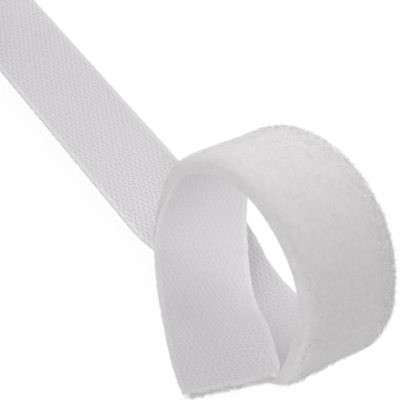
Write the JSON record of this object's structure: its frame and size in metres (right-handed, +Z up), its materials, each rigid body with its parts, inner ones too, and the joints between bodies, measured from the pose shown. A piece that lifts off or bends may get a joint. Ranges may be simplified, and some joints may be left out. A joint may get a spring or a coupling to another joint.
{
  "type": "loop tape roll",
  "caption": "Roll of woven loop tape on a paperboard core, with the free end drawn out flat on the table and sprung up into an open curl.",
  "frame": {"origin": "on the table, under the middle of the straight run of tape", "axes": "+X along the run from the roll to the curl, +Y to the far edge of the tape, +Z up"},
  "size_m": [0.279, 0.0526, 0.1133],
  "materials": {
    "woven": "matt white polyamide plain weave",
    "selvedge": "close-woven white edge band",
    "pile": "soft napped white loops",
    "board": "spiral-wound grey-brown paperboard",
    "film": "cream double-sided tape"
  },
  "bodies": {
    "roll_and_run": {"core_tube": "board", "start_tack": "film", "wound_web": "woven", "wound_pile": "pile", "run_web": "woven", "run_selvedge_near": "selvedge", "run_selvedge_far": "selvedge", "run_pile": "pile"},
    "rise": {"rise_web": "woven", "rise_selvedge_near": "selvedge", "rise_selvedge_far": "selvedge", "rise_pile": "pile"},
    "fall": {"fall_web": "woven", "fall_selvedge_near": "selvedge", "fall_selvedge_far": "selvedge", "fall_pile": "pile"},
    "tip": {"tip_web": "woven", "tip_selvedge_near": "selvedge", "tip_selvedge_far": "selvedge", "tip_pile": "pile", "tip_end_seal": "selvedge"}
  },
  "joints": [
    {"name": "foot_flex", "type": "hinge", "parent": "roll_and_run", "child": "rise", "pos_m": [0.12636, -0.00036, 0.00641], "axis": [0.0417, -0.9991, -0.011], "range_deg": [-25, 0], "stiffness_Nm_per_rad": 0.03},
    {"name": "top_flex", "type": "hinge", "parent": "rise", "child": "fall", "pos_m": [0.11564, 0.00885, 0.06012], "axis": [-0.0573, -0.9616, 0.2683], "range_deg": [-25, 0], "stiffness_Nm_per_rad": 0.03},
    {"name": "tip_flex", "type": "hinge", "parent": "fall", "child": "tip", "pos_m": [0.09416, 0.00249, 0.03523], "axis": [-0.1549, -0.9341, 0.3217], "range_deg": [-15, 0], "stiffness_Nm_per_rad": 0.03}
  ],
  "couplings": [
    {"joint": "top_flex", "follows": "foot_flex", "ratio": 1},
    {"joint": "tip_flex", "follows": "foot_flex", "ratio": 0.6}
  ]
}
